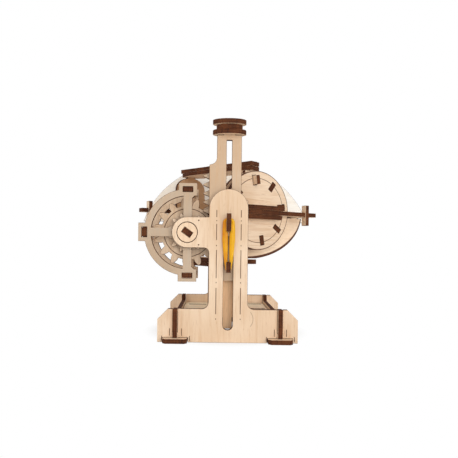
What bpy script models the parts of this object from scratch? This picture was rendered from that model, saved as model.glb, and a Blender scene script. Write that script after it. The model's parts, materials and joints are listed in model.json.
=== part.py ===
"""A plywood mechanical puzzle: a tower with a spring-back plunger, a rack and pinion, a caged gear
and an indicator disc on an oblique axle.

Metres, +Z up. X runs to the right and Y away from the front plate. The origin is on the
ground, in the middle of the base between its front and back plates.
"""
import bpy
import bmesh
from math import acos, asin, atan2, cos, pi, radians, sin, sqrt, tan
from mathutils import Matrix, Vector

MM = 0.001

# Stock and fits
PLY = 2.8 * MM
GAP = 0.3 * MM
PITCH_OF_LAYERS = PLY + GAP
CORNER = 3.0 * MM

# Base
BASE_DEPTH = 88.0 * MM
BASE_HALF_WIDTH = 42.2 * MM
WING_TOP = 20.1 * MM
WING_CHAMFER = 6.3 * MM
RAIL_X = 31.5 * MM
RAIL_PROUD = 2.0 * MM
RAIL_END = 7.0 * MM
RAIL_DIP = 16.0 * MM
FOOT_HALF_WIDTH = 7.3 * MM
FOOT_PROUD = 5.0 * MM
FOOT_LENGTH = 15.0 * MM
SHELF_TOP = 14.0 * MM
SHELF_TENON = 5.6 * MM
SHELF_KEY = 12.0 * MM
SHELF_SLOT_WIDTH = 3.0 * MM
BACK_SLOT_LEFT = 17.0 * MM
BACK_SLOT_RIGHT = 12.0 * MM
MIDDLE_SLOT = 38.0 * MM

# Front column and its arm
COLUMN_HALF_WIDTH = 11.7 * MM
COLUMN_TOP = 92.4 * MM
SLOT_HALF_WIDTH = 3.0 * MM
SLOT_BOTTOM = 7.5 * MM
SLOT_TOP = 64.0 * MM
ARM_RADIUS = 9.2 * MM

# Plunger
TRAVEL = 30.0 * MM
NECK_HALF_WIDTH = 7.5 * MM
NECK_TOP = 125.4 * MM
SHOULDER_Z = 107.6 * MM
SLIDER_LEFT = 12.0 * MM
SLIDER_BOTTOM = 37.0 * MM
NECK_SLOT_WIDTH = 3.3 * MM
GUIDE_STRIP_TOP = 86.0 * MM
GUIDE_PLATE_TOP = 60.0 * MM
NECK_SLOT_BOTTOM = 90.0 * MM
NECK_BRIDGE = 3.0 * MM
BUTTON_WIDTH = 20.4 * MM
BUTTON_DEPTH = 11.0 * MM
BUTTON_WAIST_WIDTH = 15.9 * MM
BUTTON_WAIST_DEPTH = 8.6 * MM
BUTTON_TENON_WIDTH = 7.0 * MM

# Rubber band and its two lugs
LUG_HEIGHT = 10.5 * MM
LUG_LEDGE = 6.0 * MM
LUG_LIP = 2.0 * MM
LUG_REACH = 4.8 * MM
LUG_TENON = 4.8 * MM
UPPER_LUG_Z = 66.9 * MM
LOWER_LUG_Z = 42.3 * MM
LOWER_LUG_DROP = 2.5 * MM
LOWER_LUG_TENON = 3.4 * MM
BAND_THICK = 1.6 * MM
BAND_CROSSING = 1.8 * MM
BAND_LOW_STRAND = 1.1 * MM
BAND_TOP_HALF_WIDTH = 4.2 * MM

# Drive axle, its gears and their cage
DRIVE_X = -24.9 * MM
DRIVE_Z = 66.1 * MM
AXLE_WIDE = 5.6 * MM
AXLE_THIN = 3.2 * MM
AXLE_TILT = radians(-36.0)
BUSH_RADIUS = 6.1 * MM
RUNNING = 0.2 * MM
PINION_TEETH = 13
PINION_RADIUS = 11.1 * MM
DRIVE_GEAR_TEETH = 15
DRIVE_GEAR_RADIUS = 19.2 * MM
SMALL_PINION_TEETH = 7
RACK_SPAN = 8
CAGE_DEPTH = 34.7 * MM
CAGE_OUTER = 26.4 * MM
CAGE_INNER = 22.2 * MM
CAGE_HUB = 10.0 * MM
SPOKE_WIDTH = 5.2 * MM
CAGE_LUG_WIDTH = 11.2 * MM
CAGE_LUG_REACH = 29.9 * MM
SLAT_WIDTH = 9.0 * MM
SLAT_TENON = 5.6 * MM
SLAT_RADIUS = 26.2 * MM
AXLE_CLEARANCE = 3.8 * MM
PRESSURE = radians(25.0)
DRIVE_GEAR_PHASE = radians(2.2)

# Second axle
SECOND_X = 0.0
SECOND_AXLE = 3.6 * MM
SECOND_BEARING = 2.8 * MM
KICKER_REACH = 8.0 * MM
BRACKET_HALF_WIDTH = 6.0 * MM

# Oblique head: s runs along its disc, t along its axle and towards the front
HEAD_TURN = radians(33.0)
HEAD_X = 2.63 * MM
HEAD_Y = 51.75 * MM
HEAD_Z = 81.6 * MM
DISC_RADIUS = 25.8 * MM
DISC_AT = 30.5 * MM
HEAD_AXLE_RADIUS = 2.5 * MM
TAB_COUNT = 8
TAB_PHASE = radians(-80.5)
TAB_RADIUS = 19.8 * MM
TAB_LENGTH = 5.8 * MM
STOP_PEG_PROUD = 4.0 * MM
STOP_PEG_INDEX = 4
ARM_WIDTH = 5.0 * MM
RIGHT_ARM_Z = 80.1 * MM
RIGHT_ARM_INNER = -11.5 * MM
RIGHT_ARM_TIP = 47.0 * MM
RIGHT_BLOCK_TOP = 18.3 * MM
RIGHT_BLOCK_BOTTOM = 15.9 * MM
RIGHT_TIP_PLATE = 38.5 * MM
LEFT_ARM_Z = 82.6 * MM
LEFT_ARM_INNER = -4.0 * MM
LEFT_ARM_TIP = -55.9 * MM
LEFT_TIP_PLATE = -49.3 * MM
TIP_UPPER = 6.5 * MM
TIP_LOWER = 7.4 * MM
TIP_DEPTH = 4.2 * MM
WING_CENTRE = -2.0 * MM
WING_REACH = 49.3 * MM
WING_UNDER_SEAT = 0.4 * MM
WING_INNER = (36.0 * MM, 25.0 * MM)
WING_TENON = (37.5 * MM, 43.0 * MM)
RIGHT_HEEL = (34.8 * MM, 45.6 * MM)
POST_HALF_WIDTH = 7.0 * MM
NEAR_POST_TOP = 3.0 * MM
FAR_POST_TOP = -13.5 * MM
FAR_POST_TO_BACK = 8.15 * MM
FAR_POST_HALF_WIDTH = 12.0 * MM
FAR_POST_LOBE = 6.0 * MM
HEAD_TENON = 6.0 * MM
BRIDGE_HALF_WIDTH = 4.6 * MM
BRIDGE_WIDE = 8.6 * MM
BRIDGE_HIGH_MID = 113.7 * MM
CRADLE_MID = 48.3 * MM
CRADLE_S = -8.4 * MM
CRADLE_HALF_WIDTH = 9.0 * MM
CRADLE_TIP_RADIUS = 4.0 * MM
CRADLE_NEAR = 38.5 * MM
CRADLE_PAST_POST = 7.5 * MM
PEDESTAL_HALF_WIDTH = 4.4 * MM
PEDESTAL_AT = (7.0 * MM, -7.0 * MM)

# Rear dial board
BOARD_RADIUS = 68.3 * MM
BOARD_CENTRE_Z = 54.0 * MM
BOARD_CUT_Z = 77.0 * MM
BOARD_PEG_Z = 84.0 * MM
BOARD_PEG_HEIGHT = 6.0 * MM

# Woods and rubber
FACE = (0.86, 0.72, 0.55)
EDGE = (0.35, 0.20, 0.12)
YELLOW = (0.95, 0.72, 0.05)

# Places worked out from the sizes above
FRONT_MID = PLY / 2
SLIDER_MID = FRONT_MID + PITCH_OF_LAYERS
RACK_MID = SLIDER_MID + PITCH_OF_LAYERS
GEAR_MID = RACK_MID + PITCH_OF_LAYERS
KICKER_MID = GEAR_MID + PITCH_OF_LAYERS
BRACKET_MID = KICKER_MID + 2 * PITCH_OF_LAYERS
CAGE_BACK_MID = SLIDER_MID + CAGE_DEPTH - PLY
BACK_MID = BASE_DEPTH - PLY / 2
NECK_SLOT_TOP = NECK_TOP - NECK_BRIDGE
RACK_X = DRIVE_X + PINION_RADIUS
TOOTH_PITCH = 2 * pi * PINION_RADIUS / PINION_TEETH
GEAR_MODULE = 2 * DRIVE_GEAR_RADIUS / DRIVE_GEAR_TEETH
SMALL_PINION_RADIUS = GEAR_MODULE * SMALL_PINION_TEETH / 2
AXLE_SPACING = DRIVE_GEAR_RADIUS + SMALL_PINION_RADIUS
SECOND_Z = DRIVE_Z - sqrt(AXLE_SPACING ** 2 - (SECOND_X - DRIVE_X) ** 2)
SECOND_ANGLE = -acos((SECOND_X - DRIVE_X) / AXLE_SPACING)
BRIDGE_LOW_MID = BRIDGE_HIGH_MID - PITCH_OF_LAYERS
CRADLE_LOW_MID = CRADLE_MID - PITCH_OF_LAYERS
CRADLE_SEAT = CRADLE_MID + PLY / 2 + GAP
CRADLE_UNDER = CRADLE_LOW_MID - PLY / 2 - GAP
NEAR_POST_AT = DISC_AT - 3 * PITCH_OF_LAYERS
FAR_POST_AT = -(BASE_DEPTH - FAR_POST_TO_BACK - HEAD_Y) / cos(HEAD_TURN)
CRADLE_FAR = FAR_POST_AT - CRADLE_PAST_POST
WING_OUTER = (WING_REACH, HEAD_Z - CRADLE_SEAT + WING_UNDER_SEAT)
RIGHT_ARM_AT = DISC_AT + PLY / 2 + 0.4 * MM + ARM_WIDTH / 2
LEFT_ARM_AT = FAR_POST_AT + PLY / 2 + GAP + ARM_WIDTH / 2
HEAD_PLACE = Vector((HEAD_X, HEAD_Y, HEAD_Z))
# Y is counted from the front plate's face above, and the finished model is moved to its own middle
TO_MIDDLE = Vector((0, -BASE_DEPTH / 2, 0))

UPRIGHT = Matrix.Rotation(pi / 2, 4, "X")
SIDEWAYS = Matrix.Rotation(pi / 2, 4, "Z") @ UPRIGHT
FLAT = Matrix.Identity(4)
TURN = Matrix.Rotation(HEAD_TURN, 4, "Z")


def clear_scene():
    for item in list(bpy.data.objects):
        bpy.data.objects.remove(item, do_unlink=True)


def material(name, colour, roughness):
    made = bpy.data.materials.new(name)
    made.use_nodes = True
    shader = made.node_tree.nodes["Principled BSDF"]
    shader.inputs["Base Color"].default_value = (*colour, 1.0)
    shader.inputs["Roughness"].default_value = roughness
    return made


def arc(cx, cy, radius, start, end, steps):
    """Points on a circle, from one angle to another in degrees."""
    turn = [radians(start + (end - start) * i / steps) for i in range(steps + 1)]
    return [(cx + radius * cos(a), cy + radius * sin(a)) for a in turn]


def ellipse_arc(cx, cy, rx, ry, start, end, steps):
    """Points on an ellipse, from one angle to another in degrees."""
    turn = [radians(start + (end - start) * i / steps) for i in range(steps + 1)]
    return [(cx + rx * cos(a), cy + ry * sin(a)) for a in turn]


def rectangle(x0, y0, x1, y1):
    return [(x0, y0), (x1, y0), (x1, y1), (x0, y1)]


def turned(points, angle):
    return [(x * cos(angle) - y * sin(angle), x * sin(angle) + y * cos(angle)) for x, y in points]


def moved(points, dx, dy):
    return [(x + dx, y + dy) for x, y in points]


def plate_mesh(name, outline, holes, thick):
    """A sheet of even thickness, lying in its own XY plane, with cut-through holes."""
    bm = bmesh.new()
    edges = []
    for loop in [outline, *holes]:
        verts = [bm.verts.new((x, y, -thick / 2)) for x, y in loop]
        count = len(verts)
        edges += [bm.edges.new((verts[i], verts[(i + 1) % count])) for i in range(count)]
    bmesh.ops.triangle_fill(bm, use_beauty=True, use_dissolve=False, edges=edges)
    top = bmesh.ops.extrude_face_region(bm, geom=bm.faces[:])
    lifted = [item for item in top["geom"] if isinstance(item, bmesh.types.BMVert)]
    bmesh.ops.translate(bm, vec=(0, 0, thick), verts=lifted)
    bmesh.ops.recalc_face_normals(bm, faces=bm.faces[:])
    mesh = bpy.data.meshes.new(name)
    bm.to_mesh(mesh)
    bm.free()
    return mesh


def put(name, mesh, at, turn, finish):
    thing = bpy.data.objects.new(name, mesh)
    bpy.context.collection.objects.link(thing)
    thing.matrix_world = Matrix.Translation(at + TO_MIDDLE) @ turn
    own = finish.copy()
    own.name = name + "_finish"
    mesh.materials.append(own)
    return thing


def plate(name, outline, at, turn=UPRIGHT, holes=(), thick=PLY):
    return put(name, plate_mesh(name, outline, holes, thick), at, turn, WOOD)


def head_place(s, t, z):
    """A point of the oblique head: s along its discs, t towards its front, z above its axle."""
    return HEAD_PLACE + TURN @ Vector((s, -t, z))


def head_plate(name, outline, t, holes=()):
    """A plate square to the head's axle, with its own origin on that axle."""
    return plate(name, outline, head_place(0, t, 0), TURN @ UPRIGHT, holes)


def head_shelf(name, outline, z_mid, holes=()):
    """A level plate of the head, drawn in s and minus t."""
    return plate(name, outline, Vector((HEAD_X, HEAD_Y, z_mid)), TURN, holes)


def involute_gear(teeth, radius, addendum, dedendum, pressure, backlash, phase):
    """Outline of a spur gear. A tooth is centred on the phase angle."""
    base = radius * cos(pressure)
    tip = radius + addendum
    root = radius - dedendum
    start = max(base, root)
    levels = [start + (tip - start) * i / 3 for i in range(4)]

    def half_angle(r):
        at_pitch = acos(base / radius)
        here = acos(min(1.0, base / r))
        bow = (tan(at_pitch) - at_pitch) - (tan(here) - here)
        return pi / (2 * teeth) - backlash / (2 * radius) + bow

    points = []
    for tooth in range(teeth):
        centre = phase + 2 * pi * tooth / teeth
        points.append((root, centre - half_angle(start)))
        points += [(r, centre - half_angle(r)) for r in levels]
        points += [(r, centre + half_angle(r)) for r in reversed(levels)]
        points.append((root, centre + half_angle(start)))
    return [(r * cos(a), r * sin(a)) for r, a in points]


def column_plate(name, y_mid, arm, slot, lug_mortise):
    """An end plate of the tower: wings, column with a round head, and the arm on the front one."""
    foot = FOOT_HALF_WIDTH + GAP
    foot_top = PLY + GAP
    slit = PLY / 2 + GAP
    right_base = [
        (COLUMN_HALF_WIDTH, 0.0),
        (RAIL_X - foot, 0.0),
        (RAIL_X - foot, foot_top),
        (RAIL_X + foot, foot_top),
        (RAIL_X + foot, 0.0),
        (BASE_HALF_WIDTH, 0.0),
        (BASE_HALF_WIDTH, WING_TOP - WING_CHAMFER),
        (BASE_HALF_WIDTH - WING_CHAMFER, WING_TOP),
        (RAIL_X + slit, WING_TOP),
        (RAIL_X + slit, foot_top + PLY),
        (RAIL_X - slit, foot_top + PLY),
        (RAIL_X - slit, WING_TOP),
    ]
    fillet = 4.0 * MM
    right_side = arc(COLUMN_HALF_WIDTH + fillet, WING_TOP + fillet, fillet, 270, 180, 4)
    left_base = [(-x, z) for x, z in reversed(right_base)]
    left_fillet = [(-x, z) for x, z in reversed(right_side)]
    head_z = COLUMN_TOP - COLUMN_HALF_WIDTH
    head = arc(0, head_z, COLUMN_HALF_WIDTH, 0, 180, 16)
    left_side = []
    if arm:
        under = DRIVE_Z - ARM_RADIUS
        left_side += [(-COLUMN_HALF_WIDTH, DRIVE_Z + ARM_RADIUS)]
        left_side += arc(DRIVE_X, DRIVE_Z, ARM_RADIUS, 90, 270, 16)
        left_side += arc(-COLUMN_HALF_WIDTH - CORNER, under - CORNER, CORNER, 90, 0, 4)
    outline = right_base + right_side + head + left_side + left_fillet + left_base
    holes = []
    if arm:
        holes.append(moved(arc(0, 0, BUSH_RADIUS + RUNNING, 0, 345, 23), DRIVE_X, DRIVE_Z))
    if slot:
        low = arc(0, SLOT_BOTTOM + SLOT_HALF_WIDTH, SLOT_HALF_WIDTH, 180, 360, 8)
        high = arc(0, SLOT_TOP - SLOT_HALF_WIDTH, SLOT_HALF_WIDTH, 0, 180, 8)
        holes.append(low + high)
    if lug_mortise:
        middle = UPPER_LUG_Z + LUG_LEDGE / 2
        reach = LUG_TENON / 2 + GAP
        holes.append(rectangle(-slit, middle - reach, slit, middle + reach))
    if not arm:
        tall = BOARD_PEG_HEIGHT / 2 + GAP
        holes.append(rectangle(-slit, BOARD_PEG_Z - tall, slit, BOARD_PEG_Z + tall))
    return plate(name, outline, Vector((0, y_mid, 0)), UPRIGHT, holes)


def base():
    column_plate("front_plate", FRONT_MID, True, True, True)
    column_plate("back_plate", BACK_MID, False, False, False)
    rail_low = PLY + GAP
    slit_floor = rail_low + PLY
    length = BASE_DEPTH + 2 * RAIL_PROUD
    half = length / 2
    inner = BASE_DEPTH / 2 - PLY - GAP
    lip = BASE_DEPTH / 2 + GAP
    rail = [
        (-inner, rail_low),
        (inner, rail_low),
        (inner, slit_floor + GAP),
        (lip, slit_floor + GAP),
        (lip, rail_low),
        (half, rail_low),
        (half, WING_TOP),
        (half - RAIL_END, WING_TOP),
        (half - RAIL_END - 1.5 * MM, RAIL_DIP),
        (-half + RAIL_END + 1.5 * MM, RAIL_DIP),
        (-half + RAIL_END, WING_TOP),
        (-half, WING_TOP),
        (-half, rail_low),
        (-lip, rail_low),
        (-lip, slit_floor + GAP),
        (-inner, slit_floor + GAP),
    ]
    key = SHELF_KEY / 2
    mortise = rectangle(-key, SHELF_TOP - PLY - GAP, key, SHELF_TOP + GAP)
    for side, word in ((-1, "left"), (1, "right")):
        at = Vector((side * RAIL_X, BASE_DEPTH / 2, 0))
        plate("side_rail_" + word, rail, at, SIDEWAYS, [mortise])
    for side, word in ((-1, "left"), (1, "right")):
        for front, place in ((True, "front"), (False, "back")):
            near = -FOOT_PROUD if front else BASE_DEPTH + FOOT_PROUD - FOOT_LENGTH
            shape = foot_outline()
            at = Vector((side * RAIL_X, near, PLY / 2))
            plate("foot_" + place + "_" + word, shape, at, FLAT)


def foot_outline():
    cut = 1.5 * MM
    w = FOOT_HALF_WIDTH
    return [
        (-w + cut, 0), (w - cut, 0), (w, cut), (w, FOOT_LENGTH - cut),
        (w - cut, FOOT_LENGTH), (-w + cut, FOOT_LENGTH), (-w, FOOT_LENGTH - cut), (-w, cut),
    ]


def shelf():
    """The level floor between the rails, keyed into them and slotted for the posts."""
    half_x = RAIL_X - PLY / 2 - GAP
    near = PLY + GAP
    far = BASE_DEPTH - PLY - GAP
    middle = BASE_DEPTH / 2
    tongue = RAIL_X + PLY / 2
    key = SHELF_KEY / 2 - GAP
    slit = PLY / 2 + GAP
    reach = SHELF_TENON / 2 + GAP
    bar_back = SLIDER_MID + slit
    guide_back = RACK_MID + slit
    outline = [
        (-half_x, near), (-SLIDER_LEFT - GAP, near), (-SLIDER_LEFT - GAP, bar_back), (-reach, bar_back),
        (-reach, guide_back), (reach, guide_back), (reach, bar_back), (NECK_HALF_WIDTH + GAP, bar_back),
        (NECK_HALF_WIDTH + GAP, near), (half_x, near),
        (half_x, middle - key), (tongue, middle - key), (tongue, middle + key), (half_x, middle + key),
        (half_x, far), (-half_x, far),
        (-half_x, middle + key), (-tongue, middle + key), (-tongue, middle - key), (-half_x, middle - key),
    ]
    left_slot = BASE_DEPTH - BACK_SLOT_LEFT
    right_slot = BASE_DEPTH - BACK_SLOT_RIGHT
    middle_slot = BASE_DEPTH - MIDDLE_SLOT
    slots = [
        rectangle(-26.7 * MM, left_slot, -13.8 * MM, left_slot + SHELF_SLOT_WIDTH),
        rectangle(16.5 * MM, right_slot, 28 * MM, right_slot + SHELF_SLOT_WIDTH),
        rectangle(17.4 * MM, middle_slot, 28 * MM, middle_slot + SHELF_SLOT_WIDTH),
        rectangle(-reach, BRACKET_MID - slit, reach, BRACKET_MID + slit),
    ]
    for t in PEDESTAL_AT:
        local = level_mortise(CRADLE_S, t)
        slots.append(moved(turned(local, HEAD_TURN), HEAD_X, HEAD_Y))
    plate("base_shelf", outline, Vector((0, 0, SHELF_TOP - PLY / 2)), FLAT, slots)


def slider():
    """The plunger: a slotted bar with its rack behind it and a three-layer button on top."""
    fillet = 4.0 * MM
    right = NECK_HALF_WIDTH
    tenon_top = NECK_TOP + GAP + 2 * PITCH_OF_LAYERS - GAP
    tenon = BUTTON_TENON_WIDTH / 2
    bar = [
        (-SLIDER_LEFT + 1 * MM, SLIDER_BOTTOM),
        (right - 1 * MM, SLIDER_BOTTOM),
        (right, SLIDER_BOTTOM + 1 * MM),
        (right, NECK_TOP),
        (tenon, NECK_TOP),
        (tenon, tenon_top),
        (-tenon, tenon_top),
        (-tenon, NECK_TOP),
        (-NECK_HALF_WIDTH, NECK_TOP),
    ]
    bar += arc(-NECK_HALF_WIDTH - fillet, SHOULDER_Z + fillet, fillet, 0, -90, 5)
    bar += [(-SLIDER_LEFT, SHOULDER_Z - 0.5 * MM), (-SLIDER_LEFT, SLIDER_BOTTOM + 1 * MM)]
    slot_half = NECK_SLOT_WIDTH / 2
    slit = PLY / 2 + GAP
    lug_low = LOWER_LUG_Z + LOWER_LUG_DROP - GAP
    holes = [
        rectangle(-slot_half, NECK_SLOT_BOTTOM, slot_half, NECK_SLOT_TOP),
        rectangle(-slit, lug_low, slit, lug_low + LOWER_LUG_TENON + 2 * GAP),
    ]
    plate("slider_bar", bar, Vector((0, SLIDER_MID, 0)), UPRIGHT, holes)
    rack()
    widths = ((BUTTON_WIDTH, BUTTON_DEPTH), (BUTTON_WAIST_WIDTH, BUTTON_WAIST_DEPTH),
              (BUTTON_WIDTH, BUTTON_DEPTH))
    for level, word in enumerate(("bottom", "middle", "top")):
        wide, deep = widths[level]
        shape = ellipse_arc(0, 0, wide / 2, deep / 2, 0, 360 - 15, 23)
        hole = []
        if word != "top":
            hole = [rectangle(-tenon - GAP, -PLY / 2 - GAP, tenon + GAP, PLY / 2 + GAP)]
        z = NECK_TOP + GAP + PLY / 2 + level * PITCH_OF_LAYERS
        plate("button_" + word, shape, Vector((0, SLIDER_MID, z)), FLAT, hole)


def rack():
    """The toothed strip. At rest the pinion's tooth stands in the gap level with its axle."""
    addendum = 1.9 * MM
    dedendum = 1.9 * MM
    backlash = 0.3 * MM
    slope = tan(PRESSURE)
    half = TOOTH_PITCH / 4 - backlash / 2
    root = RACK_X + dedendum
    tip = RACK_X - addendum
    back = -NECK_HALF_WIDTH + 0.3 * MM
    low = DRIVE_Z - TOOTH_PITCH
    high = DRIVE_Z + (RACK_SPAN - 1) * TOOTH_PITCH
    outline = [(back, low), (back, high), (root, high)]
    for k in reversed(range(RACK_SPAN)):
        centre = DRIVE_Z + (k - 0.5) * TOOTH_PITCH
        outline += [
            (root, centre + half + dedendum * slope),
            (tip, centre + half - addendum * slope),
            (tip, centre - half + addendum * slope),
            (root, centre - half - dedendum * slope),
        ]
    outline.append((root, low))
    plate("slider_rack", outline, Vector((0, RACK_MID, 0)))


def lugs_and_band():
    """Two hooked lugs hold the rubber band, one on the front plate and one on the slider."""
    half = LUG_TENON / 2
    middle = LUG_LEDGE / 2
    lip = -LUG_REACH + LUG_LIP
    upper = [
        (-GAP, 0), (-GAP, middle - half), (PLY, middle - half), (PLY, middle + half),
        (-GAP, middle + half), (-GAP, LUG_LEDGE), (lip, LUG_LEDGE), (lip, LUG_HEIGHT),
        (-LUG_REACH, LUG_HEIGHT), (-LUG_REACH, 0),
    ]
    plate("band_lug_upper", upper, Vector((0, 0, UPPER_LUG_Z)), SIDEWAYS)
    through = SLIDER_MID + PLY / 2
    shoulder = SLIDER_MID - PLY / 2 - GAP
    arm_low = LOWER_LUG_DROP
    arm_high = arm_low + LOWER_LUG_TENON
    lower = [
        (shoulder, arm_low - GAP), (shoulder, arm_low), (through, arm_low), (through, arm_high),
        (shoulder, arm_high), (shoulder, arm_high + GAP), (-LUG_REACH, arm_high + GAP),
        (-LUG_REACH, 0), (lip, 0), (lip, arm_low - GAP),
    ]
    plate("band_lug_lower", lower, Vector((0, 0, LOWER_LUG_Z)), SIDEWAYS)
    rubber_band()


def rubber_band():
    """A closed loop round both lugs. Its strands are wider at the top than at the bottom."""
    clear = PLY / 2 + GAP
    in_top = UPPER_LUG_Z + LUG_LEDGE + GAP
    in_low = LOWER_LUG_Z + LOWER_LUG_DROP - 2 * GAP
    out_top = in_top + BAND_CROSSING
    out_low = in_low - BAND_CROSSING
    wide = BAND_TOP_HALF_WIDTH
    narrow = clear + BAND_LOW_STRAND
    outer = ellipse_arc(0, out_top - 3 * MM, wide, 3 * MM, 0, 180, 10)
    outer += ellipse_arc(0, out_low + 2 * MM, narrow, 2 * MM, 180, 360, 8)
    inner = [
        (clear + 0.3 * MM, in_top - 1 * MM), (clear, in_top), (-clear, in_top),
        (-clear - 0.3 * MM, in_top - 1 * MM), (-clear, in_low + 1 * MM), (-clear, in_low),
        (clear, in_low), (clear, in_low + 1 * MM),
    ]
    at = Vector((0, -GAP * 2 - BAND_THICK / 2, 0))
    put("rubber_band", plate_mesh("rubber_band", outer, [inner], BAND_THICK), at, UPRIGHT, RUBBER)


def slider_guides():
    """A strip beside the slider and a plate behind it, standing in the base shelf."""
    left = NECK_HALF_WIDTH + GAP
    strip = rectangle(left, WING_TOP + GAP, COLUMN_HALF_WIDTH, GUIDE_STRIP_TOP)
    plate("slider_guide_strip", strip, Vector((0, SLIDER_MID, 0)))
    side = NECK_HALF_WIDTH - 2 * GAP
    seat = SHELF_TOP + GAP
    tenon = SHELF_TENON / 2
    outline = [
        (-side, seat), (-tenon, seat), (-tenon, SLOT_BOTTOM), (tenon, SLOT_BOTTOM), (tenon, seat),
        (side, seat), (side, GUIDE_PLATE_TOP), (-side, GUIDE_PLATE_TOP),
    ]
    bearing = moved(arc(0, 0, SECOND_BEARING, 0, 340, 17), SECOND_X, SECOND_Z)
    plate("slider_guide_plate", outline, Vector((0, RACK_MID, 0)), UPRIGHT, [bearing])


def cage_outline():
    """Half a ring on three spokes, with a square lug over each spoke."""
    w = SPOKE_WIDTH / 2
    lug = CAGE_LUG_WIDTH / 2
    out = CAGE_LUG_REACH
    turn_in = CAGE_INNER
    side = 90 - acos(lug / CAGE_OUTER) * 180 / pi
    hub = 90 - acos(w / CAGE_HUB) * 180 / pi
    outline = [(w, turn_in - 1.5 * MM), (w + 1.5 * MM, turn_in), (lug, turn_in), (lug, out), (-lug, out)]
    outline += arc(0, 0, CAGE_OUTER, 90 + side, 180 - side, 10)
    outline += [(-out, lug), (-out, -lug)]
    outline += arc(0, 0, CAGE_OUTER, 180 + side, 270 - side, 10)
    outline += [(-lug, -out), (lug, -out), (lug, -turn_in), (w + 1.5 * MM, -turn_in)]
    outline += [(w, -turn_in + 1.5 * MM)]
    outline += arc(0, 0, CAGE_HUB, -90 + hub, 90 - hub, 12)
    return outline


def cage_windows():
    w = SPOKE_WIDTH / 2
    far = 90 - acos(w / CAGE_INNER) * 180 / pi
    near = 90 - acos(w / CAGE_HUB) * 180 / pi
    windows = []
    for start in (90, 180):
        window = arc(0, 0, CAGE_INNER, start + far, start + 90 - far, 12)
        window += arc(0, 0, CAGE_HUB, start + 90 - near, start + near, 6)
        windows.append(window)
    return windows


def cage():
    """Two pierced plates joined by three slats, round the drive gear."""
    long = SLAT_TENON / 2 + GAP
    thin = PLY / 2 + GAP
    r = SLAT_RADIUS
    mortises = [
        rectangle(-long, r - thin, long, r + thin),
        rectangle(-r - thin, -long, -r + thin, long),
        rectangle(-long, -r - thin, long, -r + thin),
    ]
    plates = ((SLIDER_MID, "front", AXLE_CLEARANCE), (CAGE_BACK_MID, "back", BUSH_RADIUS + RUNNING))
    for y, word, hole in plates:
        bore = arc(0, 0, hole, 0, 345, 23)
        holes = cage_windows() + mortises + [bore]
        plate("cage_plate_" + word, cage_outline(), Vector((DRIVE_X, y, DRIVE_Z)), UPRIGHT, holes)
    near = SLIDER_MID - PLY / 2
    far = CAGE_BACK_MID + PLY / 2
    half = SLAT_TENON / 2
    body = SLAT_WIDTH / 2
    slat = [
        (near, -half), (near + PLY + GAP, -half), (near + PLY + GAP, -body),
        (far - PLY - GAP, -body), (far - PLY - GAP, -half), (far, -half),
        (far, half), (far - PLY - GAP, half), (far - PLY - GAP, body),
        (near + PLY + GAP, body), (near + PLY + GAP, half), (near, half),
    ]
    plate("cage_slat_left", slat, Vector((DRIVE_X - r, 0, DRIVE_Z)), SIDEWAYS)
    level = [(y, x) for x, y in reversed(slat)]
    plate("cage_slat_top", level, Vector((DRIVE_X, 0, DRIVE_Z + r)), FLAT)
    plate("cage_slat_bottom", level, Vector((DRIVE_X, 0, DRIVE_Z - r)), FLAT)


def rod(name, section, x, z, near, far, holes=()):
    """A straight bar along Y with the given section."""
    at = Vector((x, (near + far) / 2, z))
    return plate(name, section, at, UPRIGHT, holes, far - near)


def drive_train():
    """The axle turned by the rack, with its bushes, its pinion and the large gear."""
    w = AXLE_WIDE / 2
    h = AXLE_THIN / 2
    section = turned(rectangle(-w, -h, w, h), AXLE_TILT)
    socket = turned(rectangle(-w - GAP, -h - GAP, w + GAP, h + GAP), AXLE_TILT)
    far = CAGE_BACK_MID + PLY / 2
    rod("drive_axle", section, DRIVE_X, DRIVE_Z, 0, far)
    bush = arc(0, 0, BUSH_RADIUS, 0, 345, 23)
    plate("drive_bush_front", bush, Vector((DRIVE_X, FRONT_MID, DRIVE_Z)), UPRIGHT, [socket])
    plate("drive_bush_back", bush, Vector((DRIVE_X, CAGE_BACK_MID, DRIVE_Z)), UPRIGHT, [socket])
    pinion = involute_gear(PINION_TEETH, PINION_RADIUS, 1.55 * MM, 2.2 * MM, PRESSURE, 0.3 * MM, 0.0)
    plate("rack_pinion", pinion, Vector((DRIVE_X, RACK_MID, DRIVE_Z)), UPRIGHT, [socket])
    gear = involute_gear(DRIVE_GEAR_TEETH, DRIVE_GEAR_RADIUS, 2.0 * MM, 2.4 * MM, PRESSURE, 0.4 * MM,
                         DRIVE_GEAR_PHASE)
    plate("drive_gear", gear, Vector((DRIVE_X, GEAR_MID, DRIVE_Z)), UPRIGHT, [socket])


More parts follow.
